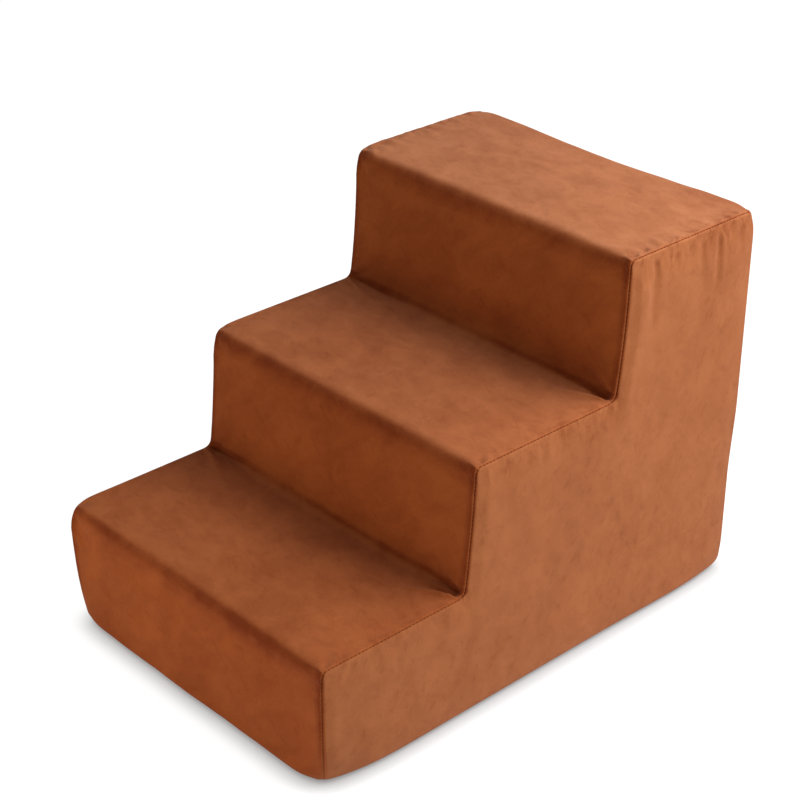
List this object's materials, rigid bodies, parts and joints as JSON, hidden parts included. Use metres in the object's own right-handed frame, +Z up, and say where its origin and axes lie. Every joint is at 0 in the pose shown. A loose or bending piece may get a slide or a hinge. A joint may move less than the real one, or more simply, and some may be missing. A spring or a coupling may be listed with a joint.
{
  "type": "pet stairs",
  "caption": "Foam pet stairs in a removable suede-like cover, with a zip low across the back.",
  "frame": {"origin": "on the floor, below the middle of the stairs' box", "axes": "+X across the steps, +Y from the lowest step to the back, +Z up"},
  "size_m": [0.38, 0.5596, 0.409],
  "materials": {
    "foam": "matte",
    "cover_cloth": "matte",
    "base_cloth": "matte",
    "zip_tape": "matte",
    "zip_plastic": "satin",
    "zip_metal": "satin"
  },
  "bodies": {
    "root": {"foam_base_slab": "foam", "foam_middle_slab": "foam", "foam_top_slab": "foam", "cover_band": "cover_cloth", "cover_side_left": "cover_cloth", "cover_side_right": "cover_cloth", "cover_back_hem": "cover_cloth", "cover_base": "base_cloth", "zip_tape_upper": "zip_tape", "zip_tape_lower": "zip_tape", "zip_teeth_upper": "zip_plastic", "zip_teeth_lower": "zip_plastic", "zip_top_stops": "zip_plastic", "zip_bottom_stop": "zip_plastic"},
    "slider": {"zip_slider": "zip_metal"},
    "pull": {"zip_pull": "zip_metal"}
  },
  "joints": [
    {"name": "zip_slide", "type": "slide", "parent": "root", "child": "slider", "axis": [-1, 0, 0], "range_m": [0, 0.3034], "deforming": ["zip_teeth_upper", "zip_teeth_lower"]},
    {"name": "pull_swing", "type": "hinge", "parent": "slider", "child": "pull", "pos_m": [0.1522, 0.2781, 0.06], "axis": [0, 0, -1], "range_deg": [0, 180]}
  ]
}
